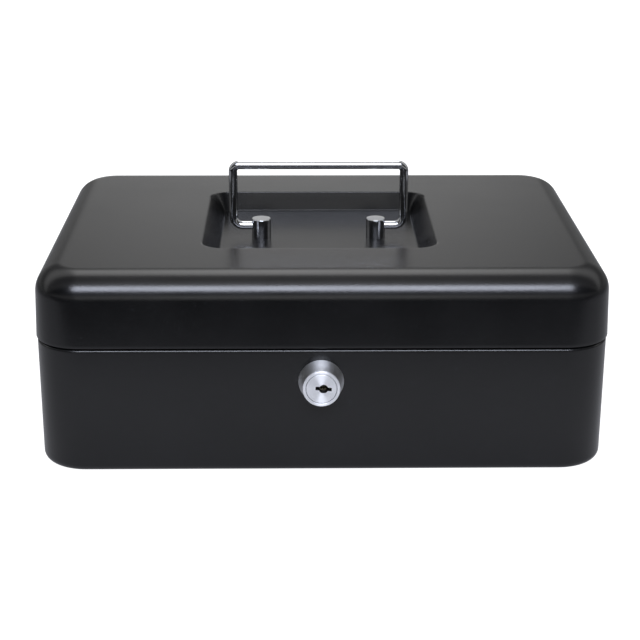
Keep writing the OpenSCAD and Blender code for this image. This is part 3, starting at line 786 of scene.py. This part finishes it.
def coin_tray():
    top = tray_high.z
    plan = rounded_plan(-TRAY_X, TRAY_X, -TRAY_Y, TRAY_Y, TRAY_CORNER_R, 24)
    tray = mesh_object("tray_moulding", extrude(plan, Matrix.Identity(4), top - TRAY_RIM, top))
    bay = [(-BAY_X, -TRAY_Y - PAST), (BAY_X, -TRAY_Y - PAST), (BAY_X, BAY_Y), (-BAY_X, BAY_Y)]
    boolean(tray, extrude(bay, Matrix.Identity(4), top - 2 * TRAY_RIM, top + PAST))
    front = -TRAY_Y + TRAY_EDGE
    pockets = [
        (-TRAY_X + TRAY_EDGE, -BAY_X - TRAY_EDGE, front),
        (-BAY_X, BAY_X, BAY_Y + TRAY_EDGE),
        (BAY_X + TRAY_EDGE, TRAY_X - TRAY_EDGE, front),
    ]
    boolean(tray, tray_cups(TRAY_WALL, top - RIM_COVER), "UNION")
    for pocket in pockets:
        boolean(tray, tray_pocket(*pocket, TRAY_WALL, top - RIM_COVER), "UNION")
    boolean(tray, tray_cups(0, top + PAST))
    for pocket in pockets:
        boolean(tray, tray_pocket(*pocket, 0, top + PAST))
    return finish_piece(tray, "tray", "tray_plastic", ["coin_tray"])


# ---- CAD nodes that keep their shape ----

KEPT = {
    "zinc_steel": [
        "lock_washer", "lock_nut", "lock_cam", "cam_screw", "strike_plate", "hinge_base_leaf_left",
        "hinge_base_leaf_right", "hinge_pin_left", "hinge_pin_right", "hinge_lid_leaf_left",
        "hinge_lid_leaf_right", "post_washers", "post_screws",
    ],
    "black_powder_coat": ["tray_support_left", "tray_support_right"],
    "wafer_brass": ["lock_wafers"],
}


def dress_cad_nodes():
    """Better materials and eased edges for the CAD nodes that stay."""
    for slot, names in KEPT.items():
        for name in names:
            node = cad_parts[name]
            node.data.materials.clear()
            node.data.materials.append(MATERIALS[slot])
            weld = node.modifiers.new("weld", "WELD")
            weld.merge_threshold = 1e-6
            ease = node.modifiers.new("ease", "BEVEL")
            ease.width, ease.segments, ease.limit_method = EASED_EDGE, 2, "ANGLE"
            ease.angle_limit = math.radians(40)
            ease.use_clamp_overlap = True
            for face in node.data.polygons:
                face.use_smooth = True
            node.modifiers.new("weighted", "WEIGHTED_NORMAL").keep_sharp = True


# ---- Studio ----

def make_camera():
    """The photograph's viewpoint: a little above the box and a little left of its middle."""
    level, drop = math.cos(CAMERA_PITCH), math.sin(CAMERA_PITCH)
    ahead = Vector((math.sin(CAMERA_YAW) * level, math.cos(CAMERA_YAW) * level, -drop))
    right = Vector((math.cos(CAMERA_YAW), -math.sin(CAMERA_YAW), 0))
    up = right.cross(ahead)
    right = right * math.cos(CAMERA_ROLL) + up * math.sin(CAMERA_ROLL)
    up = right.cross(ahead)
    camera = bpy.data.objects.new("camera", bpy.data.cameras.new("camera"))
    camera.data.sensor_width = CAMERA_SENSOR
    camera.data.lens = CAMERA_LENS
    camera.data.clip_start, camera.data.clip_end = 0.01, 50
    place = Matrix((right, up, -ahead)).transposed().to_4x4()
    place.translation = CAMERA_PLACE
    camera.matrix_world = place
    bpy.context.scene.collection.objects.link(camera)
    bpy.context.scene.camera = camera


def make_floor():
    """Pale floor, white to the camera. Its light fades where the real table ended in front of the box."""
    far = FLOOR_REACH
    corners = [(-far, -far, 0), (far, -far, 0), (far, far, 0), (-far, far, 0)]
    floor = mesh_object("floor", (corners, [(0, 1, 2, 3)]))
    floor.location.z = base_low.z
    g = Graph(bpy.data.materials.new("pale_floor"))
    front = g.span(g.axis("Y"), TABLE_END - TABLE_BLUR, TABLE_END + TABLE_BLUR, TABLE_LEAST, 1.0)
    sides = g.span(g.math("ABSOLUTE", g.axis("X")), 0.15, 0.6, 1.0, 0.35)
    stains = g.span(g.noise(9, 2), 0.3, 0.7, 0.97, 1.0)
    tone = g.math("MULTIPLY", g.math("MULTIPLY", front, sides), stains)
    seen = g.node("LightPath").outputs["Is Camera Ray"]
    glow = g.node("Emission")
    g.link(g.blend(seen, g.blend(tone, BLACK, FLOOR_GLOW), WHITE), glow.inputs["Color"])
    matt = g.node("BsdfDiffuse")
    g.link(g.blend(tone, BLACK, FLOOR_MATT), matt.inputs["Color"])
    both = g.node("AddShader")
    g.link(glow.outputs[0], both.inputs[0])
    g.link(matt.outputs[0], both.inputs[1])
    g.link(both.outputs[0], g.tree.nodes["Material Output"].inputs["Surface"])
    floor.data.materials.append(g.owner)


def make_sky():
    """Soft studio: brightness by the turn about the X axis, less to the sides, plain white to the camera."""
    world = bpy.data.worlds.new("studio")
    bpy.context.scene.world = world
    g = Graph(world, "Generated")
    ramp = g.node("ValToRGB")
    turn = g.math("ARCTAN2", g.axis("Z"), g.axis("Y"))
    g.link(g.math("DIVIDE", turn, math.pi), ramp.inputs[0])
    stops = ramp.color_ramp.elements
    while len(stops) < len(SKY):
        stops.new(0.5)
    for stop, (angle, value) in zip(stops, SKY):
        stop.position = angle / 180
        stop.color = (value, value, value, 1)
    aside = g.math("ABSOLUTE", g.axis("X"))
    fade = g.math("SUBTRACT", 1.0, g.math("MULTIPLY", g.math("MULTIPLY", aside, aside), SIDE_FADE))
    studio = g.tree.nodes["Background"]
    g.link(ramp.outputs["Color"], studio.inputs["Color"])
    g.link(g.math("MAXIMUM", fade, SIDE_LEAST), studio.inputs["Strength"])
    plain = g.node("Background")
    plain.inputs["Color"].default_value = (*WHITE, 1)
    mix = g.node("MixShader")
    g.link(g.node("LightPath").outputs["Is Camera Ray"], mix.inputs[0])
    g.link(studio.outputs[0], mix.inputs[1])
    g.link(plain.outputs[0], mix.inputs[2])
    g.link(mix.outputs[0], g.tree.nodes["World Output"].inputs["Surface"])


def make_softbox():
    """Softbox high behind the camera, aimed at the box."""
    light = bpy.data.lights.new("softbox", "AREA")
    light.shape, light.size, light.size_y = "RECTANGLE", SOFTBOX_W, SOFTBOX_H
    light.energy = SOFTBOX_POWER
    light.color = SOFTBOX_COLOR
    softbox = bpy.data.objects.new("softbox", light)
    back = Vector((0, -math.cos(SOFTBOX_UP), math.sin(SOFTBOX_UP)))
    softbox.location = SOFTBOX_AIM + back * SOFTBOX_FAR
    softbox.rotation_mode = "QUATERNION"
    softbox.rotation_quaternion = back.to_track_quat("Z", "Y")
    bpy.context.scene.collection.objects.link(softbox)


MATERIALS = {
    "black_powder_coat": black_powder_coat(),
    "chrome_plate": chrome_plate(),
    "plug_nickel": plug_nickel(),
    "zinc_steel": zinc_steel(),
    "wafer_brass": wafer_brass(),
    "tray_plastic": tray_plastic(),
}

bpy.context.scene.view_settings.view_transform = "Standard"
make_camera()
make_floor()
make_sky()
make_softbox()
lid_shell()
base_shell()
handle_bail()
handle_post(-1, "handle_post_left")
handle_post(1, "handle_post_right")
lock_barrel()
lock_plug()
coin_tray()
dress_cad_nodes()
